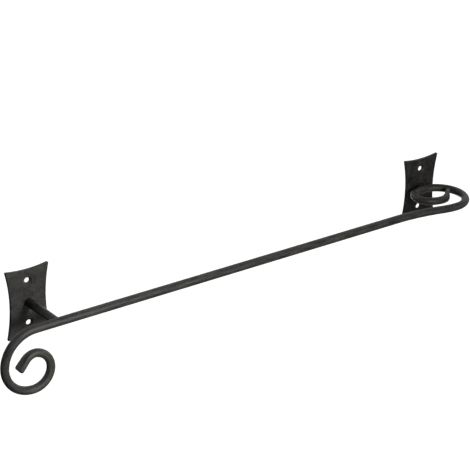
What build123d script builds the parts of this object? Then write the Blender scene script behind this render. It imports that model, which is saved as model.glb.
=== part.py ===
from build123d import *
import math
import os

# Forged iron towel bar: one round rod with a scroll at each end, held off the wall by two plates.
# X runs along the bar to the right, Y runs into the wall, Z is up.
# The origin is on the wall, at the middle of the four screw holes.

# Rod and its hammered ends
ROD_DIA = 10.6
TIP_WIDTH = 12.8
TIP_THICK = 5.0
TIP_CORNER = 3.6
TIP_BEVEL = 1.0

# Back plates
PLATE_SPACING = 600.0
PLATE_WIDTH = 57.4
PLATE_HEIGHT = 89.0
PLATE_THICK = 3.5
SIDE_HOLLOW = 5.3
END_HOLLOW = 2.8
CORNER_RADIUS = 1.0
EDGE_SOFTENING = 0.5
SCREW_HOLE_DIA = 6.5
SCREW_SPACING = 55.0
COUNTERSINK_DIA = 10.8
COUNTERSINK_DEPTH = 2.1

# Posts: the bar rides a little above the middle of the plates, so the left post climbs to it
POST_DIA = 10.8
POST_RISE = 2.4
SADDLE_DEPTH = 3.6
STAND_OFF = 66.3
STUB_GAP = 5.1

# Left scroll, in a plane parallel to the wall: bends as (radius, degrees)
LEFT_OVERHANG = 27.9
LEFT_BENDS = [(41.2, 90.0), (35.5, 90.0), (23.6, 90.0), (22.7, 75.0)]
LEFT_TIP_BEND = (15.0, 65.0)
LEFT_TIP_LENGTH = 14.3

# Right scroll, lying flat: the rod sways out from the wall, then turns back to the plate
SWAY_RADIUS = 268.0
SWAY_RETURN_RADIUS = 92.0
SWAY_DEGREES = 14.85
RIGHT_FRONT_RADIUS = 33.3
RIGHT_INNER_BENDS = [(50.0, 10.0), (20.2, 80.0), (18.0, 55.0), (30.7, 35.0)]
RIGHT_TIP_BEND = (18.0, 44.0)
RIGHT_TIP_LENGTH = 13.5
REAR_INBOARD = 5.0

# Values that follow from the sizes above
rod_radius = ROD_DIA / 2
plate_x = PLATE_SPACING / 2
rod_y = -(PLATE_THICK + STAND_OFF)
rear_depth = STAND_OFF - rod_radius - STUB_GAP
sway_turn = math.radians(SWAY_DEGREES)
sway_depth = (SWAY_RADIUS + SWAY_RETURN_RADIUS) * (1 - math.cos(sway_turn))
sway_length = (SWAY_RADIUS + SWAY_RETURN_RADIUS) * math.sin(sway_turn)
rear_radius = rear_depth + sway_depth - RIGHT_FRONT_RADIUS
right_start_x = plate_x - REAR_INBOARD - sway_length - RIGHT_FRONT_RADIUS + rear_radius
left_start_x = -plate_x - LEFT_OVERHANG
right_bends = [
    (-SWAY_RADIUS, SWAY_DEGREES),
    (SWAY_RETURN_RADIUS, SWAY_DEGREES),
    (RIGHT_FRONT_RADIUS, 90.0),
    (rear_radius, 90.0),
] + RIGHT_INNER_BENDS


def bend_run(point, heading, inward, bends):
    """Tangent arcs from a point; a negative radius bends away from the inward side."""
    axis = Axis((0, 0, 0), heading.cross(inward))
    edges = []
    for radius, degrees in bends:
        centre = point + inward * radius
        angle = math.copysign(degrees, radius)
        spoke = point - centre
        middle = centre + spoke.rotate(axis, angle / 2)
        end = centre + spoke.rotate(axis, angle)
        edges.append(Edge.make_three_point_arc(point, middle, end))
        point = end
        heading = heading.rotate(axis, angle)
        inward = inward.rotate(axis, angle)
    return edges, point, heading, inward


def hammered_end(point, heading, inward, bend, length):
    """The last bend and tip of the rod: drawn out sideways along the bend, then beaten flat."""
    arcs, tip, ahead, inner = bend_run(point, heading, inward, [bend])
    spread = (rod_radius + TIP_WIDTH / 2) / 2
    thinned = (rod_radius * 2 + TIP_THICK / 2) / 3
    at_start = Plane(origin=point, x_dir=inward, z_dir=heading)
    at_tip = Plane(origin=tip, x_dir=inner, z_dir=ahead)
    bent = sweep(
        [at_start * Circle(rod_radius), at_tip * Ellipse(thinned, spread)],
        path=Wire(arcs), multisection=True,
    )
    drawn = loft([
        at_tip * Ellipse(thinned, spread),
        at_tip.offset(length) * Ellipse(thinned, TIP_WIDTH / 2),
    ])
    thick, thin = thinned * 1.03, TIP_THICK / 2
    bevel = length - TIP_BEVEL
    side = Plane(origin=tip, x_dir=ahead, z_dir=ahead.cross(inner))
    wedge = extrude(side * make_face(Polyline(
        (0, -thick), (bevel, -thin), (length, TIP_BEVEL - thin),
        (length, thin - TIP_BEVEL), (bevel, thin), (0, thick), close=True,
    )), TIP_WIDTH, both=True)
    face_on = Plane(origin=tip, x_dir=ahead, z_dir=inner)
    blank = Pos(length / 2, 0) * Rectangle(length, TIP_WIDTH + 0.5)
    blank = fillet(blank.vertices().sort_by(Axis.X)[-2:], TIP_CORNER)
    tongue = extrude(face_on * blank, ROD_DIA, both=True)
    return bent + (drawn & wedge & tongue)


def make_rod():
    """One length of round rod: left scroll, straight, sway and right scroll, with both ends."""
    left_start = Vector(left_start_x, rod_y, POST_RISE)
    right_start = Vector(right_start_x, rod_y, POST_RISE)
    left = bend_run(left_start, Vector(-1, 0, 0), Vector(0, 0, -1), LEFT_BENDS)
    right = bend_run(right_start, Vector(1, 0, 0), Vector(0, 1, 0), right_bends)
    straight = Edge.make_line(left_start, right_start)
    rod = hammered_end(*left[1:], LEFT_TIP_BEND, LEFT_TIP_LENGTH)
    for edge in left[0] + [straight] + right[0]:
        section = Plane(origin=edge @ 0, z_dir=edge % 0) * Circle(rod_radius)
        rod += sweep(section, path=Wire([edge]))
    return rod + hammered_end(*right[1:], RIGHT_TIP_BEND, RIGHT_TIP_LENGTH)


def make_plate(centre_x):
    """A waisted plate with hollowed sides, softened front edges and two countersunk holes."""
    w, h = PLATE_WIDTH / 2, PLATE_HEIGHT / 2
    outline = [
        ThreePointArc((-w, -h), (0, END_HOLLOW - h), (w, -h)),
        ThreePointArc((w, -h), (w - SIDE_HOLLOW, 0), (w, h)),
        ThreePointArc((w, h), (0, h - END_HOLLOW), (-w, h)),
        ThreePointArc((-w, h), (SIDE_HOLLOW - w, 0), (-w, -h)),
    ]
    face = make_face(outline)
    face = fillet(face.vertices(), CORNER_RADIUS)
    blank = extrude(Plane.XZ * face, PLATE_THICK)
    blank = chamfer(blank.faces().sort_by(Axis.Y)[0].edges(), EDGE_SOFTENING)
    towards_room = Rot(90, 0, 0)
    drill = towards_room * Cylinder(SCREW_HOLE_DIA / 2, PLATE_THICK * 4)
    sink_y = COUNTERSINK_DEPTH / 2 - PLATE_THICK
    drill += Pos(0, sink_y, 0) * towards_room * Cone(
        SCREW_HOLE_DIA / 2, COUNTERSINK_DIA / 2, COUNTERSINK_DEPTH)
    for z in (SCREW_SPACING / 2, -SCREW_SPACING / 2):
        blank -= Pos(0, 0, z) * drill
    return Pos(centre_x, 0, 0) * blank


def make_post(centre_x, foot_z, rod_centre_y, rod):
    """A round post cut flush to the plate's face, its end hollowed to cup the rod that it is welded to."""
    foot = Vector(centre_x, -PLATE_THICK, foot_z)
    ahead = Vector(centre_x, rod_centre_y, POST_RISE) - foot
    start = Plane(origin=foot, z_dir=ahead).offset(-POST_DIA)
    post = extrude(start * Circle(POST_DIA / 2), POST_DIA + ahead.length - rod_radius + SADDLE_DEPTH)
    post = split(post, Plane(origin=foot, z_dir=(0, -1, 0)), keep=Keep.TOP)
    return post - rod


rod = make_rod()
nodes = {
    "towel_bar": rod,
    "left_back_plate": make_plate(-plate_x),
    "right_back_plate": make_plate(plate_x),
    "left_post": make_post(-plate_x, 0, rod_y, rod),
    "right_stub": make_post(plate_x, POST_RISE, rod_y + rear_depth, rod),
}

os.makedirs("parts", exist_ok=True)
for name, shape in nodes.items():
    export_step(shape, f"parts/{name}.step")
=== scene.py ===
import math

import bpy
import numpy as np
from mathutils import Matrix, Vector


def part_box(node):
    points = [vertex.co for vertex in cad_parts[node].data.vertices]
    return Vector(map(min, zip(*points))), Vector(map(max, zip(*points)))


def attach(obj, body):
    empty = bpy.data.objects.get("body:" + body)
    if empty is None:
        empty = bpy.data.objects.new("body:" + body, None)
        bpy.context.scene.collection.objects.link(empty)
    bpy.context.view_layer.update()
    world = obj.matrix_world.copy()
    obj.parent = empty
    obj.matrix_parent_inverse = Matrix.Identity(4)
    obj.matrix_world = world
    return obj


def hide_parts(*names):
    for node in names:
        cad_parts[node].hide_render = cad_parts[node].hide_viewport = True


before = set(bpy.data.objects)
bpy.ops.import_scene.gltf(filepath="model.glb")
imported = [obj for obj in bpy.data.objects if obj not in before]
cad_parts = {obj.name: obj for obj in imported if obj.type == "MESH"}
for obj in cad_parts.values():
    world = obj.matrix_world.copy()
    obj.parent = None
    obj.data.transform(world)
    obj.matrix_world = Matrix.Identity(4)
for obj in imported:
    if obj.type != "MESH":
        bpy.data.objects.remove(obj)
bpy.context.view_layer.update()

# Back plates: two flat iron plates with hollowed sides, cut from sheet and countersunk for wall screws.
# The satin black brushed over the whole bar is made here, because the plates come first: it is mottled
# by the forge scale under it, a little rougher where the scale shows, and finely specked.
PLATE_DARK, PLATE_LIGHT = (0.0170, 0.0163, 0.0144), (0.0560, 0.0536, 0.0480)
PLATE_MOTTLE_SCALE, PLATE_DENT_SCALE, PLATE_DENT_HEIGHT = 130.0, 95.0, 0.0005
MOTTLE_DETAIL, MOTTLE_BITE = 6.0, 0.75
DARK_BELOW, LIGHT_ABOVE = 0.38, 0.62
SMOOTH_BELOW, ROUGH_ABOVE = 0.3, 0.7
SMOOTHEST, ROUGHEST = 0.48, 0.64
DENT_DETAIL, DENT_STRENGTH = 2.0, 0.5
GRAIN_SCALE, GRAIN_DETAIL = 700.0, 3.0
GRAIN_STRENGTH, GRAIN_HEIGHT = 0.35, 0.00012
SPECK_FROM, SPECK_TO = 0.35, 0.65
SPECK_DARK, SPECK_LIGHT = 0.80, 1.22
COATING_IOR, SHEEN = 1.5, 0.5


def add_node(tree, kind, inputs=None, **settings):
    """A new node in a shader tree, with its settings. Each input that is named gets a constant,
    or a link where the value is another node's output."""
    node = tree.nodes.new(kind)
    for name, value in settings.items():
        setattr(node, name, value)
    for name, value in (inputs or {}).items():
        if isinstance(value, bpy.types.NodeSocket):
            tree.links.new(value, node.inputs[name])
        else:
            node.inputs[name].default_value = value
    return node


def graded(tree, value, start, stop, at_start, at_stop):
    """A level that changes evenly while the value goes from start to stop, and holds beyond them."""
    grade = add_node(tree, "ShaderNodeMapRange", {
        "Value": value, "From Min": start, "From Max": stop, "To Min": at_start, "To Max": at_stop})
    return grade.outputs["Result"]


def black_iron_finish(name, dark, light, mottle_scale, dent_scale, dent_height, drawn_along=None):
    """Satin black over forged iron. One noise gives colour and roughness, in object space or in a vector
    attribute that runs along the piece. A slow noise gives the hammer's dents, and a fine one gives
    the brushed grain and multiplies the colour into specks."""
    finish = bpy.data.materials.new(name)
    finish.use_nodes = True
    tree = finish.node_tree
    place = add_node(tree, "ShaderNodeTexCoord").outputs["Object"]
    drawn = place
    if drawn_along:
        drawn = add_node(tree, "ShaderNodeAttribute", attribute_name=drawn_along).outputs["Vector"]
    mottle = add_node(tree, "ShaderNodeTexNoise", {
        "Vector": drawn, "Scale": mottle_scale, "Detail": MOTTLE_DETAIL, "Roughness": MOTTLE_BITE,
    }).outputs["Fac"]
    dents = add_node(tree, "ShaderNodeTexNoise", {
        "Vector": place, "Scale": dent_scale, "Detail": DENT_DETAIL,
    }).outputs["Fac"]
    grain = add_node(tree, "ShaderNodeTexNoise", {
        "Vector": place, "Scale": GRAIN_SCALE, "Detail": GRAIN_DETAIL,
    }).outputs["Fac"]

    colour = add_node(tree, "ShaderNodeValToRGB", {"Fac": mottle})
    below, above = colour.color_ramp.elements
    below.position, below.color = DARK_BELOW, (*dark, 1)
    above.position, above.color = LIGHT_ABOVE, (*light, 1)
    specks = graded(tree, grain, SPECK_FROM, SPECK_TO, SPECK_DARK, SPECK_LIGHT)
    specked = add_node(tree, "ShaderNodeMixRGB", {
        "Fac": 1.0, "Color1": colour.outputs["Color"], "Color2": specks}, blend_type="MULTIPLY")
    gloss = graded(tree, mottle, SMOOTH_BELOW, ROUGH_ABOVE, SMOOTHEST, ROUGHEST)
    dented = add_node(tree, "ShaderNodeBump", {
        "Height": dents, "Strength": DENT_STRENGTH, "Distance": dent_height})
    brushed = add_node(tree, "ShaderNodeBump", {
        "Height": grain, "Strength": GRAIN_STRENGTH, "Distance": GRAIN_HEIGHT,
        "Normal": dented.outputs["Normal"]})

    shader = tree.nodes["Principled BSDF"]
    tree.links.new(specked.outputs["Color"], shader.inputs["Base Color"])
    tree.links.new(gloss, shader.inputs["Roughness"])
    tree.links.new(brushed.outputs["Normal"], shader.inputs["Normal"])
    shader.inputs["Metallic"].default_value = 0.0
    shader.inputs["IOR"].default_value = COATING_IOR
    shader.inputs["Specular IOR Level"].default_value = SHEEN
    return finish


def dress(node, finish):
    """Show a solid in one finish."""
    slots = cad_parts[node].data.materials
    slots.clear()
    slots.append(finish)


plate_iron = black_iron_finish(
    "plate_iron", PLATE_DARK, PLATE_LIGHT, PLATE_MOTTLE_SCALE, PLATE_DENT_SCALE, PLATE_DENT_HEIGHT)
dress("left_back_plate", plate_iron)
dress("right_back_plate", plate_iron)

# Posts: lengths of round iron between the plates and the rod, their ends hollowed to the rod and welded.
# The left one is the full stand-off and the right one is a stub behind the flat scroll.
POST_MOTTLE_SCALE, POST_DENT_SCALE, POST_DENT_HEIGHT = 170.0, 140.0, 0.0004
post_iron = black_iron_finish(
    "post_iron", PLATE_DARK, PLATE_LIGHT, POST_MOTTLE_SCALE, POST_DENT_SCALE, POST_DENT_HEIGHT)
dress("left_post", post_iron)
dress("right_stub", post_iron)

# Rod: one length of round iron, heated and bent into a scroll at each end, its ends drawn out
# sideways and beaten flat. The left scroll hangs in the plane of the wall, the right one lies flat.
# The forge scale runs in streaks along it, and the inner turns of the left scroll are painted paler as a
# painted highlight.
ROD_DARK, ROD_LIGHT = (0.0160, 0.0154, 0.0138), (0.0760, 0.0730, 0.0663)
ROD_MOTTLE_SCALE, ROD_DENT_SCALE, ROD_DENT_HEIGHT = 260.0, 160.0, 0.0004
STREAK_SHARE = 0.16
# Painted highlight: the inner turns of the left scroll are mixed towards a paler colour. The share grows over
# a set length, starting a set distance into the scroll.
HIGHLIGHT_PAINT_COLOUR, HIGHLIGHT_PAINT_SHARE = (0.130, 0.122, 0.108), 0.22
HIGHLIGHT_PAINT_FROM, HIGHLIGHT_PAINT_LENGTH = 0.095, 0.060
ROD_RADIUS, SCROLL_RADIUS = 0.00535, 0.0052
DRAWN_LENGTH = 0.060
TIP_HALF_WIDTH, TIP_HALF_THICK = 0.0068, 0.0025
TIP_FLAT_HALF_WIDTH = 0.0063
TIP_CORNER = 0.0030
TIP_BEVEL, BEVEL_SHARE = 0.0010, 0.36
FAR_FROM_TIP = 1.0

# Hammer marks, as waves: share of the depth, radians per metre, waves round the rod, phase
HAMMER_DEPTH = 0.009
HAMMER_WAVES = [(0.35, 410, 2, 0.0), (0.25, 730, -3, 1.3), (0.2, 1130, 4, 0.7), (0.2, 1710, -5, 2.1)]

# Bends, as radius and degrees, from where the straight ends. The right plate in the frame places them.
plate_low, plate_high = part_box("right_back_plate")
PLATE_X = round((plate_low.x + plate_high.x) / 2, 4)
PLATE_FRONT_Y = round(plate_low.y, 4)
STAND_OFF, POST_RISE = 0.0663, 0.0024
ROD_Y, ROD_Z = PLATE_FRONT_Y - STAND_OFF, POST_RISE
LEFT_OVERHANG = 0.0279
LEFT_START = np.array([-PLATE_X - LEFT_OVERHANG, ROD_Y, ROD_Z])
LEFT_BENDS = [(0.0412, 90), (0.0355, 90), (0.0236, 90), (0.0227, 75), (0.0150, 65)]
LEFT_TIP = 0.0150
SWAY_RADIUS, SWAY_RETURN_RADIUS, SWAY_DEGREES = 0.268, 0.092, 14.85
FRONT_RADIUS, REAR_DEPTH, REAR_INBOARD = 0.0333, 0.0559, 0.0050
SWAY_DEPTH = (SWAY_RADIUS + SWAY_RETURN_RADIUS) * (1 - math.cos(math.radians(SWAY_DEGREES)))
SWAY_LENGTH = (SWAY_RADIUS + SWAY_RETURN_RADIUS) * math.sin(math.radians(SWAY_DEGREES))
REAR_RADIUS = REAR_DEPTH + SWAY_DEPTH - FRONT_RADIUS
RIGHT_START_X = PLATE_X - REAR_INBOARD - SWAY_LENGTH - FRONT_RADIUS + REAR_RADIUS
RIGHT_START = np.array([RIGHT_START_X, ROD_Y, ROD_Z])
RIGHT_BENDS = [
    (-SWAY_RADIUS, SWAY_DEGREES), (SWAY_RETURN_RADIUS, SWAY_DEGREES), (FRONT_RADIUS, 90), (REAR_RADIUS, 90),
    (0.0500, 10), (0.0202, 80), (0.0180, 55), (0.0307, 35), (0.0180, 44)]
RIGHT_TIP = 0.0135

# Fineness of the mesh: points round the rod, rows along it, and the smaller rings that close its ends
AROUND = 64
ROW_STEP = 0.0011
STRAIGHT_STRETCH, TIP_CROWDING = 2.2, 1.8
END_RINGS = (0.35, 0.7)
SHARP_DEGREES = 32


def smooth_step(t):
    """Three times t squared minus twice t cubed, with t held between 0 and 1."""
    t = np.clip(t, 0, 1)
    return t * t * (3 - 2 * t)


def length_along(places):
    """How much of a line lies behind each of its places."""
    return np.concatenate([[0], np.cumsum(np.linalg.norm(np.diff(places, axis=0), axis=1))])


def run_of_bends(point, heading, inward, bends, tip):
    """Centreline of tangent arcs and a straight tip. On each arc the place is its centre plus the radius
    times (sine of the turn along the heading minus cosine of the turn along the inward side).
    Returns the places, the inward sides and three measures of each place: how far it is into the
    hammered end, from 0 at the last bend's start to 1, how much rod is left and how much is behind."""
    places, inwards = [point[None]], [inward[None]]
    for radius, degrees in bends:
        turn = math.copysign(math.radians(degrees), radius)
        t = np.linspace(0, turn, int(abs(radius * turn) / ROW_STEP) + 2)[1:, None]
        places.append(point + radius * inward + radius * (np.sin(t) * heading - np.cos(t) * inward))
        inwards.append(np.cos(t) * inward - np.sin(t) * heading)
        heading, inward = (math.cos(turn) * heading + math.sin(turn) * inward,
                           math.cos(turn) * inward - math.sin(turn) * heading)
        point = places[-1][-1]
    t = tip * np.sin(np.linspace(0, math.pi / 2, int(tip / ROW_STEP * TIP_CROWDING) + 2))[1:, None]
    places.append(point + t * heading)
    inwards.append(np.repeat(inward[None], len(t), 0))
    places, inwards = np.concatenate(places), np.concatenate(inwards)
    behind = length_along(places)
    left_over = behind[-1] - behind
    last_radius, last_degrees = bends[-1]
    into = np.clip(1 - left_over / (abs(last_radius) * math.radians(last_degrees) + tip), 0, 1)
    return places, inwards, np.stack([into, left_over, behind], -1)


def beaten_section(angle):
    """Offsets of the flattened end's section, towards the inside of the bend and across it, at angles
    round the rod. Each face is flat over a quarter turn. On the sides between, the width grows by
    one minus the square of the way from the middle of the side to its edge."""
    quarter = np.round(angle / (math.pi / 2))
    share = (angle - quarter * math.pi / 2) / (math.pi / 4)
    on_face = quarter % 2 == 0
    sign = np.where((quarter % 4 == 0) | (quarter % 4 == 1), 1.0, -1.0)
    side_width = TIP_FLAT_HALF_WIDTH + (TIP_HALF_WIDTH - TIP_FLAT_HALF_WIDTH) * (1 - share ** 2)
    inside = np.where(on_face, sign * TIP_HALF_THICK, -sign * share * TIP_HALF_THICK)
    across = np.where(on_face, sign * share * TIP_FLAT_HALF_WIDTH, sign * side_width)
    return inside, across


def closed_tube(rings, ends):
    """Points and faces of a tube through rings of points, each end closed by two rings that shrink
    towards its end point and a fan of triangles round that point."""
    shares = np.array(END_RINGS)[:, None, None]
    grid = np.concatenate([ends[0] + (rings[0] - ends[0]) * shares, rings,
                           ends[1] + (rings[-1] - ends[1]) * shares[::-1]])
    here = np.arange(AROUND)
    after = (here + 1) % AROUND
    row = np.arange(len(grid) - 1)[:, None] * AROUND
    next_row = row + AROUND
    quads = np.stack([row + here, row + after, next_row + after, next_row + here], -1).reshape(-1, 4)
    start_point = len(grid) * AROUND
    last_row = start_point - AROUND
    start_fan = np.stack([np.full(AROUND, start_point), after, here], -1)
    end_fan = np.stack([np.full(AROUND, start_point + 1), last_row + here, last_row + after], -1)
    return np.concatenate([grid.reshape(-1, 3), ends]), quads.tolist() + start_fan.tolist() + end_fan.tolist()


def on_tube_points(values):
    """Values on the rings' points, repeated for the closing rings and the two end points of the tube."""
    values = np.concatenate([values[[0, 0]], values, values[[-1, -1]]])
    values = values.reshape(-1, *values.shape[2:])
    return np.concatenate([values, values[[0, -1]]])


def rod_surface():
    """A section carried along the centreline: a circle that changes into the beaten section by a smooth
    step along each hammered end. The hammer's waves are taken off it, the last corners are rounded by
    a quarter circle, and the tip's faces are bevelled by a parabola. Along the straight the section
    turns by a quarter, from the left scroll's plane to the right one's. Also returns the share of a
    painted highlight at each point, a smooth step along the inner turns of the left scroll, and a place
    in a shortened straight rod, whose noise is drawn out into streaks along the bent one."""
    x, y, z = np.eye(3)
    left, left_in, left_measures = run_of_bends(LEFT_START, -x, -z, LEFT_BENDS, LEFT_TIP)
    right, right_in, right_measures = run_of_bends(RIGHT_START, x, y, RIGHT_BENDS, RIGHT_TIP)
    rows = int((RIGHT_START[0] - LEFT_START[0]) / (ROW_STEP * STRAIGHT_STRETCH))
    u = np.linspace(0, 1, rows)[1:-1, None]
    twist = math.pi / 2 * smooth_step(u)
    straight = LEFT_START + u * (RIGHT_START - LEFT_START)
    straight_in = np.sin(twist) * y - np.cos(twist) * z
    straight_measures = np.tile([0.0, FAR_FROM_TIP, 0.0], (len(u), 1))
    centre = np.concatenate([left[::-1], straight, right])
    inward = np.concatenate([left_in[::-1], straight_in, right_in])
    measures = np.concatenate([left_measures[::-1], straight_measures, right_measures])
    into, left_over, behind = measures.T[..., None]
    ahead = np.gradient(centre, axis=0)
    ahead /= np.linalg.norm(ahead, axis=1)[:, None]
    sideways = np.cross(ahead, inward)

    angle = np.linspace(0, 2 * math.pi, AROUND, endpoint=False)[None]
    along = length_along(centre)[:, None]
    waves = sum(share * np.sin(along * rate + times_round * angle + phase)
                for share, rate, times_round, phase in HAMMER_WAVES)
    hammered = 1 - HAMMER_DEPTH * (1 - waves)
    radius = ROD_RADIUS + (SCROLL_RADIUS - ROD_RADIUS) * np.clip(behind / DRAWN_LENGTH, 0, 1)
    beaten = smooth_step(into)
    beaten_inside, beaten_across = beaten_section(angle)
    corner = np.clip(1 - left_over / TIP_CORNER, 0, 1)
    narrowed = 1 - (TIP_CORNER / TIP_HALF_WIDTH) * (1 - np.sqrt(1 - corner ** 2))
    bevelled = 1 - BEVEL_SHARE * np.clip(1 - left_over / TIP_BEVEL, 0, 1) ** 2
    inside = hammered * bevelled * ((1 - beaten) * radius * np.cos(angle) + beaten * beaten_inside)
    across = hammered * narrowed * ((1 - beaten) * radius * np.sin(angle) + beaten * beaten_across)
    rings = centre[:, None] + inside[..., None] * inward[:, None] + across[..., None] * sideways[:, None]
    points, faces = closed_tube(rings, centre[[0, -1]])

    on_left = (np.arange(len(centre)) < len(left))[:, None]
    # Painted highlight: a share that grows along the inner turns of the left scroll, towards its tip.
    painted_highlight = np.repeat(smooth_step((behind * on_left - HIGHLIGHT_PAINT_FROM) / HIGHLIGHT_PAINT_LENGTH), AROUND, axis=1)
    streaks = np.stack(np.broadcast_arrays(
        along * STREAK_SHARE, ROD_RADIUS * np.cos(angle), ROD_RADIUS * np.sin(angle)), -1)
    return points, faces, on_tube_points(painted_highlight), on_tube_points(streaks)


points, faces, painted_highlight, streaks = rod_surface()
rod_mesh = bpy.data.meshes.new("scrolled_rod")
rod_mesh.from_pydata(points, [], faces)
rod_mesh.polygons.foreach_set("use_smooth", np.ones(len(faces), bool))
rod_mesh.set_sharp_from_angle(angle=math.radians(SHARP_DEGREES))
rod_mesh.attributes.new("painted_highlight", "FLOAT", "POINT").data.foreach_set("value", painted_highlight * HIGHLIGHT_PAINT_SHARE)
rod_mesh.attributes.new("streaks", "FLOAT_VECTOR", "POINT").data.foreach_set("vector", streaks.ravel())
rod = bpy.data.objects.new("scrolled_rod", rod_mesh)
bpy.context.collection.objects.link(rod)
rod_iron = black_iron_finish(
    "rod_iron", ROD_DARK, ROD_LIGHT, ROD_MOTTLE_SCALE, ROD_DENT_SCALE, ROD_DENT_HEIGHT, "streaks")
rod_tree = rod_iron.node_tree
rod_colour = rod_tree.nodes["Principled BSDF"].inputs["Base Color"]
# Painted highlight: the rod's colour is mixed towards a paler colour by that share.
painted_highlight_share = add_node(rod_tree, "ShaderNodeAttribute", attribute_name="painted_highlight")
highlight_painted = add_node(rod_tree, "ShaderNodeMixRGB", {
    "Fac": painted_highlight_share.outputs["Fac"], "Color1": rod_colour.links[0].from_socket, "Color2": (*HIGHLIGHT_PAINT_COLOUR, 1)})
rod_tree.links.new(highlight_painted.outputs["Color"], rod_colour)
rod_mesh.materials.append(rod_iron)
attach(rod, "root")
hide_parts("towel_bar")

# Floor: a plain pale sheet far below the bar, which hangs as on a wall, so that its shadow falls
# on the floor well behind it. The camera sees it pale and lit from within, and all other rays see
# a glow that is bright behind the bar and fades towards the front.
FLOOR_Z, FLOOR_HALF = -1.6, 9
FLOOR_COLOUR, FLOOR_ROUGHNESS = (0.80, 0.80, 0.80, 1), 0.9
FLOOR_WHITE = 0.94
FLOOR_BACK, FLOOR_FRONT = 1.0, 0.015
BACK_SPOT = (1.6, 1.9, FLOOR_Z)
SPOT_INNER, SPOT_OUTER = 1.0, 2.8
WHITE = (1, 1, 1, 1)
floor_mesh = bpy.data.meshes.new("floor")
floor_corners = [(x * FLOOR_HALF, y * FLOOR_HALF, FLOOR_Z) for x, y in ((-1, -1), (1, -1), (1, 1), (-1, 1))]
floor_mesh.from_pydata(floor_corners, [], [(0, 1, 2, 3)])
floor = bpy.data.objects.new("floor", floor_mesh)
bpy.context.collection.objects.link(floor)
pale = bpy.data.materials.new("pale_floor")
pale.use_nodes = True
pale_tree = pale.node_tree
lit = pale_tree.nodes["Principled BSDF"]
lit.inputs["Base Color"].default_value = FLOOR_COLOUR
lit.inputs["Roughness"].default_value = FLOOR_ROUGHNESS
lit.inputs["Emission Color"].default_value = WHITE
lit.inputs["Emission Strength"].default_value = FLOOR_WHITE
floor_place = add_node(pale_tree, "ShaderNodeTexCoord").outputs["Object"]
away = add_node(pale_tree, "ShaderNodeVectorMath", {0: floor_place, 1: BACK_SPOT}, operation="DISTANCE")
floor_glow = graded(pale_tree, away.outputs["Value"], SPOT_INNER, SPOT_OUTER, FLOOR_BACK, FLOOR_FRONT)
glow = add_node(pale_tree, "ShaderNodeEmission", {"Strength": floor_glow})
ray = add_node(pale_tree, "ShaderNodeLightPath")
floor_look = add_node(pale_tree, "ShaderNodeMixShader", {
    0: ray.outputs["Is Camera Ray"], 1: glow.outputs["Emission"], 2: lit.outputs["BSDF"]})
pale_tree.links.new(floor_look.outputs["Shader"], pale_tree.nodes["Material Output"].inputs["Surface"])
floor_mesh.materials.append(pale)

# Surround: white to the camera and through glass, and in reflections of what is behind the bar.
# As light on the bar it is white behind, low on the right, and dim in front.
BACK = (0.49, 0.80, -0.33)
SURROUND_BACK, SURROUND_FRONT = 1.0, 0.015
BACK_FROM, BACK_FULL = -0.1, 0.6
world = bpy.data.worlds.new("white_surround")
bpy.context.scene.world = world
world.use_nodes = True
sky = world.node_tree
toward = add_node(sky, "ShaderNodeVectorMath", {
    0: add_node(sky, "ShaderNodeTexCoord").outputs["Generated"], 1: BACK}, operation="DOT_PRODUCT")
fade = graded(sky, toward.outputs["Value"], BACK_FROM, BACK_FULL, SURROUND_FRONT, SURROUND_BACK)
dimmed = sky.nodes["Background"]
dimmed.inputs["Color"].default_value = WHITE
sky.links.new(fade, dimmed.inputs["Strength"])
white = add_node(sky, "ShaderNodeBackground", {"Color": WHITE, "Strength": 1.0})
ray = add_node(sky, "ShaderNodeLightPath")
mirrored = add_node(sky, "ShaderNodeMath", {0: ray.outputs["Is Glossy Ray"], 1: fade}, operation="MULTIPLY")
direct = add_node(sky, "ShaderNodeMath", {
    0: ray.outputs["Is Camera Ray"], 1: ray.outputs["Is Transmission Ray"]}, operation="MAXIMUM")
seen = add_node(sky, "ShaderNodeMath", {
    0: direct.outputs["Value"], 1: mirrored.outputs["Value"]}, operation="MAXIMUM")
surround = add_node(sky, "ShaderNodeMixShader", {
    0: seen.outputs["Value"], 1: dimmed.outputs["Background"], 2: white.outputs["Background"]})
sky.links.new(surround.outputs["Shader"], sky.nodes["World Output"].inputs["Surface"])


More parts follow.
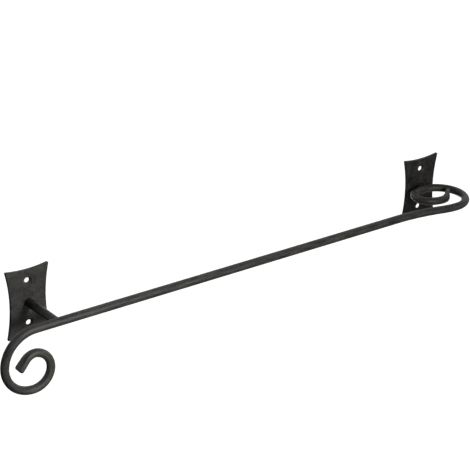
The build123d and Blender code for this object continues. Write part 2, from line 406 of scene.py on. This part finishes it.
# Lamps: a soft key in front of the left plate and above it, a weak fill in front and below,
# and a large rim lamp far behind, low on the right.
def soft_lamp(name, place, aim, side, watts, spread=180):
    """A square area lamp at a place, facing the aim point within a spread and kept out of the picture."""
    lamp = bpy.data.lights.new(name, "AREA")
    lamp.size = side
    lamp.energy = watts
    lamp.spread = math.radians(spread)
    holder = bpy.data.objects.new(name, lamp)
    bpy.context.collection.objects.link(holder)
    holder.location = place
    holder.rotation_euler = (Vector(aim) - Vector(place)).to_track_quat("-Z", "Y").to_euler()
    holder.visible_camera = False


soft_lamp("key_lamp", place=(-0.10, -1.10, 0.42), aim=(-0.40, 0, 0), side=0.20, watts=4.7, spread=130)
soft_lamp("fill_lamp", place=(0.15, -1.20, -0.30), aim=(-0.10, 0, 0), side=0.36, watts=1.5)
soft_lamp("rim_lamp", place=(1.40, 1.75, -1.30), aim=(-0.10, 0, 0), side=2.0, watts=75.0)

# Camera: where the photograph was taken from, left of the bar and above it, with a long lens.
# The focal length is in pixels of the square image.
AZIMUTH, ELEVATION, ROLL = math.radians(35.617), math.radians(25.060), math.radians(0.744)
FOCAL_PIXELS, IMAGE_PIXELS = 1717.82, 470
SENSOR_WIDTH, CLIP_END = 36.0, 50.0
CAMERA_PLACE = (-1.14065, -1.58791, 0.92052)
level = math.cos(ELEVATION)
forward = np.array([math.sin(AZIMUTH) * level, math.cos(AZIMUTH) * level, -math.sin(ELEVATION)])
side = np.cross(forward, (0, 0, 1))
side /= np.linalg.norm(side)
up = np.cross(side, forward)
side, up = math.cos(ROLL) * side + math.sin(ROLL) * up, math.cos(ROLL) * up - math.sin(ROLL) * side
camera_data = bpy.data.cameras.new("camera")
camera_data.sensor_width = SENSOR_WIDTH
camera_data.lens = FOCAL_PIXELS * SENSOR_WIDTH / IMAGE_PIXELS
camera_data.clip_end = CLIP_END
camera = bpy.data.objects.new("camera", camera_data)
bpy.context.collection.objects.link(camera)
turned = Matrix((side, up, -forward)).transposed().to_4x4()
turned.translation = CAMERA_PLACE
camera.matrix_world = turned
bpy.context.scene.camera = camera
bpy.context.scene.view_settings.view_transform = "Standard"
